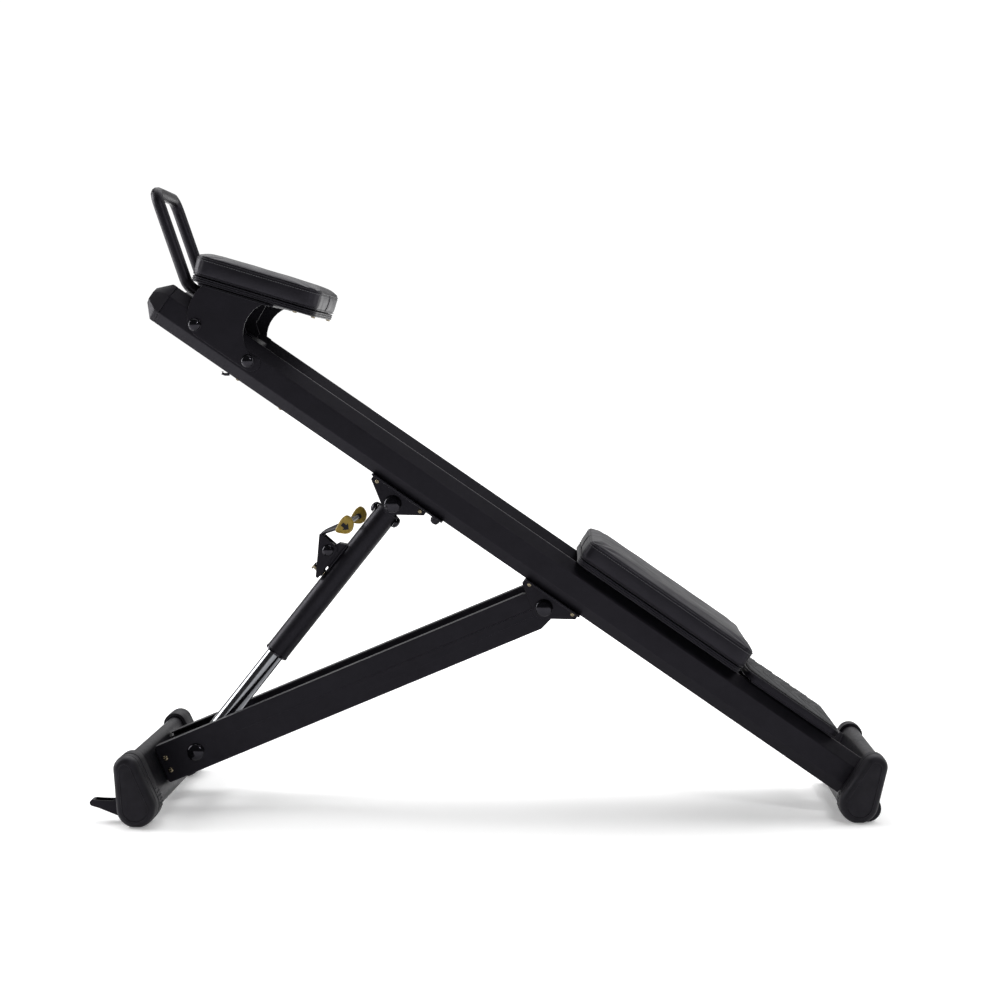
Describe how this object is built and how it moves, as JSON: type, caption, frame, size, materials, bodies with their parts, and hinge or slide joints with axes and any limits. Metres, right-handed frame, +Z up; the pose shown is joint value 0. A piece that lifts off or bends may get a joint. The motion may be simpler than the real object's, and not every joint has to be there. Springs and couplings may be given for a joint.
{
  "type": "incline plank trainer",
  "caption": "Inclined twin-rail trainer with sliding knee carriage, elbow pad, grip loop, foot platform and a latch-locked telescoping strut on a folding base.",
  "frame": {"origin": "on the floor, at the middle of the bounding box's underside", "axes": "+X along the length towards the foot end, +Y across towards the far side, +Z up"},
  "size_m": [1.6166, 0.5866, 1.2936],
  "materials": {
    "frame_coat": "satin black textured powder coat",
    "gloss_cap": "glossy black moulded bolt caps",
    "vinyl": "black upholstery vinyl, satin, double stitched",
    "rubber": "matte black rubber feet, trims, rollers and bumpers",
    "tread": "dark grey ribbed rubber mat",
    "chrome": "polished chrome plating",
    "paddle": "mustard yellow moulded plastic",
    "fastener": "zinc plated, faint yellow tint"
  },
  "bodies": {
    "rail_frame": {"rail_near": "frame_coat", "rail_far": "frame_coat", "rail_cap_near": "rubber", "rail_cap_far": "rubber", "head_plate_near": "frame_coat", "head_plate_far": "frame_coat", "head_bolt_front": "gloss_cap", "head_bolt_rear": "gloss_cap", "head_cross_member": "frame_coat", "elbow_pad_carrier": "frame_coat", "elbow_pad_board": "rubber", "elbow_pad_cushion": "vinyl", "grip_loop": "frame_coat", "upper_tie_plate": "frame_coat", "upper_bracket_near": "frame_coat", "upper_bracket_far": "frame_coat", "upper_pivot_bolt": "gloss_cap", "lower_tie_plate": "frame_coat", "lower_bracket_near": "frame_coat", "lower_bracket_far": "frame_coat", "lower_pivot_bolt": "gloss_cap", "fold_bumper_near": "rubber", "fold_bumper_far": "rubber", "rear_cross_tube": "frame_coat", "rear_foot_near": "rubber", "rear_foot_far": "rubber", "foot_platform": "frame_coat", "platform_tread": "tread"},
    "base": {"arm_near": "frame_coat", "arm_far": "frame_coat", "arm_socket_near": "frame_coat", "arm_socket_far": "frame_coat", "front_cross_tube": "frame_coat", "front_foot_near": "rubber", "front_foot_far": "rubber", "lift_step_near": "frame_coat", "lift_step_far": "frame_coat", "base_pivot_bolt": "gloss_cap"},
    "strut_outer": {"strut_tube": "frame_coat", "strut_collar": "gloss_cap", "strut_eye": "frame_coat", "strut_cross_bolt": "gloss_cap", "latch_lug": "frame_coat", "latch_bolt": "gloss_cap", "pin_barrel": "frame_coat"},
    "strut_inner": {"strut_rod": "chrome", "rod_eye": "frame_coat"},
    "latch": {"latch_lever": "frame_coat", "paddle_near": "paddle", "paddle_far": "paddle"},
    "pin": {"lock_pin": "fastener"},
    "carriage": {"carriage_frame": "frame_coat", "knee_pad_board": "rubber", "knee_pad_cushion": "vinyl"},
    "roller_body_head_near": {"roller_head_near": "rubber"},
    "roller_body_head_far": {"roller_head_far": "rubber"},
    "roller_body_foot_near": {"roller_foot_near": "rubber"},
    "roller_body_foot_far": {"roller_foot_far": "rubber"},
    "wheel_near": {"transport_wheel_near": "rubber"},
    "wheel_far": {"transport_wheel_far": "rubber"}
  },
  "joints": [
    {"name": "base_fold", "type": "hinge", "parent": "rail_frame", "child": "base", "pos_m": [0.1093, 0, 0.42462], "axis": [0, 1, 0], "range_deg": [0, 16]},
    {"name": "strut_swing", "type": "hinge", "parent": "rail_frame", "child": "strut_outer", "pos_m": [-0.20702, 0, 0.63668], "axis": [0, 1, 0], "range_deg": [0, 18.86]},
    {"name": "strut_slide", "type": "slide", "parent": "strut_outer", "child": "strut_inner", "axis": [0.6214, 0, 0.7835], "range_m": [0, 0.105]},
    {"name": "latch_swing", "type": "hinge", "parent": "strut_outer", "child": "latch", "pos_m": [-0.3482, 0, 0.53513], "axis": [0, 1, 0], "range_deg": [0, 12], "stiffness_Nm_per_rad": 12, "springref_deg": -5.73},
    {"name": "pin_draw", "type": "slide", "parent": "strut_outer", "child": "pin", "axis": [-0.7835, 0, 0.6214], "range_m": [0, 0.012]},
    {"name": "carriage_slide", "type": "slide", "parent": "rail_frame", "child": "carriage", "axis": [-0.8241, 0, 0.5664], "range_m": [0, 0.6]},
    {"name": "roller_spin_head_near", "type": "hinge", "parent": "carriage", "child": "roller_body_head_near", "pos_m": [0.212, -0.119, 0.45099], "axis": [0, 1, 0], "continuous": true},
    {"name": "roller_spin_head_far", "type": "hinge", "parent": "carriage", "child": "roller_body_head_far", "pos_m": [0.212, 0.119, 0.45099], "axis": [0, 1, 0], "continuous": true},
    {"name": "roller_spin_foot_near", "type": "hinge", "parent": "carriage", "child": "roller_body_foot_near", "pos_m": [0.42627, -0.119, 0.30372], "axis": [0, 1, 0], "continuous": true},
    {"name": "roller_spin_foot_far", "type": "hinge", "parent": "carriage", "child": "roller_body_foot_far", "pos_m": [0.42627, 0.119, 0.30372], "axis": [0, 1, 0], "continuous": true},
    {"name": "wheel_spin_near", "type": "hinge", "parent": "rail_frame", "child": "wheel_near", "pos_m": [0.768, -0.173, 0.028], "axis": [0, 1, 0], "continuous": true},
    {"name": "wheel_spin_far", "type": "hinge", "parent": "rail_frame", "child": "wheel_far", "pos_m": [0.768, 0.173, 0.028], "axis": [0, 1, 0], "continuous": true}
  ],
  "couplings": [
    {"joint": "strut_swing", "follows": "base_fold", "ratio": 1.1477},
    {"joint": "strut_slide", "follows": "base_fold", "m_per_rad": 0.3688},
    {"joint": "pin_draw", "follows": "latch_swing", "m_per_rad": 0.055},
    {"joint": "roller_spin_head_near", "follows": "carriage_slide", "rad_per_m": -68.97},
    {"joint": "roller_spin_head_far", "follows": "carriage_slide", "rad_per_m": -68.97},
    {"joint": "roller_spin_foot_near", "follows": "carriage_slide", "rad_per_m": -68.97},
    {"joint": "roller_spin_foot_far", "follows": "carriage_slide", "rad_per_m": -68.97}
  ]
}
